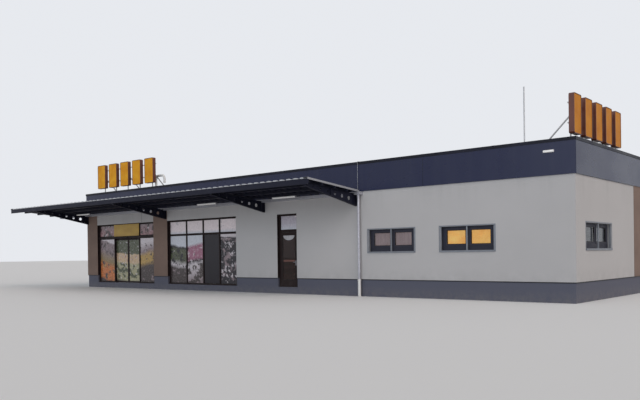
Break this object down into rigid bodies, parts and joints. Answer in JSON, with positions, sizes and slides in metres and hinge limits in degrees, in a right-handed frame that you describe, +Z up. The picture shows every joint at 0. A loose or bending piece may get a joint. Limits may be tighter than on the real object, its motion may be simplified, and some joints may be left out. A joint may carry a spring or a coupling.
{
  "type": "single-storey supermarket building",
  "caption": "Single-storey flat-roofed shop building with a dark parapet band, a rising canopy on tapered brackets, sliding entrance doors and a hinged side door.",
  "frame": {"origin": "centre of the floor plan at the lowest ground level, on the underside of the floor slab", "axes": "+X along the front to the right as seen from outside, +Y from the front to the back, +Z up"},
  "size_m": [30.255, 30.85, 7.753],
  "materials": {
    "concrete": "smooth floor concrete",
    "plinth_paint": "dark grey painted render",
    "white_render": "off-white painted render",
    "brown_render": "brown painted render",
    "band_cladding": "dark blue-grey satin cladding",
    "coping_metal": "near-black folded metal",
    "roof_membrane": "grey roofing membrane",
    "roof_sheet": "light grey coated sheet",
    "canopy_steel": "very dark blue gloss paint",
    "zinc": "dull light grey metal",
    "lamp_white": "white diffuser",
    "frame_aluminium": "anthracite powder coat",
    "clear_glass": "clear double glazing",
    "brown_glass": "dark brown glazing",
    "sign_yellow": "yellow satin panel",
    "bare_aluminium": "satin natural aluminium",
    "sign_steel": "grey painted tube",
    "sign_orange": "orange-yellow face with dark red-brown sides",
    "galvanised": "galvanised steel"
  },
  "bodies": {
    "building": {"floor_slab": "concrete", "front_footing": "plinth_paint", "front_plinth": "plinth_paint", "right_plinth": "plinth_paint", "back_plinth": "plinth_paint", "left_plinth": "plinth_paint", "front_piers": "brown_render", "lintels": "white_render", "front_wall_centre": "white_render", "front_wall_right": "white_render", "right_wall": "white_render", "back_wall": "white_render", "left_wall": "white_render", "wall_pilasters": "brown_render", "parapet_front": "band_cladding", "parapet_right": "band_cladding", "parapet_back": "band_cladding", "parapet_left": "band_cladding", "coping": "coping_metal", "roof_deck": "roof_membrane", "canopy_sheet": "roof_sheet", "canopy_purlins": "canopy_steel", "canopy_fascia": "canopy_steel", "canopy_brackets": "canopy_steel", "canopy_gutter": "zinc", "downpipe": "zinc", "canopy_lights": "lamp_white", "entrance_frame": "frame_aluminium", "entrance_glass": "clear_glass", "door_operator": "frame_aluminium", "entrance_sign_panel": "sign_yellow", "shop_window_frame": "frame_aluminium", "shop_window_glass": "clear_glass", "side_door_frame": "frame_aluminium", "fanlight_glass": "clear_glass", "office_window_frames": "frame_aluminium", "office_window_glass": "clear_glass", "blind_rails": "bare_aluminium", "sign_rails": "sign_steel", "sign_posts": "sign_steel", "sign_braces": "sign_steel", "sign_boxes": "sign_orange", "wall_lamp": "lamp_white", "roof_mast": "galvanised", "roof_cable_neck": "galvanised"},
    "left_leaf": {"sliding_door_left": "frame_aluminium", "sliding_glass_left": "clear_glass"},
    "right_leaf": {"sliding_door_right": "frame_aluminium", "sliding_glass_right": "clear_glass"},
    "side_leaf": {"side_door_leaf": "frame_aluminium", "side_door_glass": "brown_glass", "push_bar": "bare_aluminium"}
  },
  "joints": [
    {"name": "left_leaf_slide", "type": "slide", "parent": "building", "child": "left_leaf", "axis": [-1, 0, 0], "range_m": [0, 1.1]},
    {"name": "right_leaf_slide", "type": "slide", "parent": "building", "child": "right_leaf", "axis": [1, 0, 0], "range_m": [0, 1.1]},
    {"name": "side_door_hinge", "type": "hinge", "parent": "building", "child": "side_leaf", "pos_m": [1.0655, -13.74, 1.5], "axis": [0, 0, -1], "range_deg": [0, 90]}
  ],
  "couplings": [
    {"joint": "right_leaf_slide", "follows": "left_leaf_slide", "ratio": 1}
  ]
}
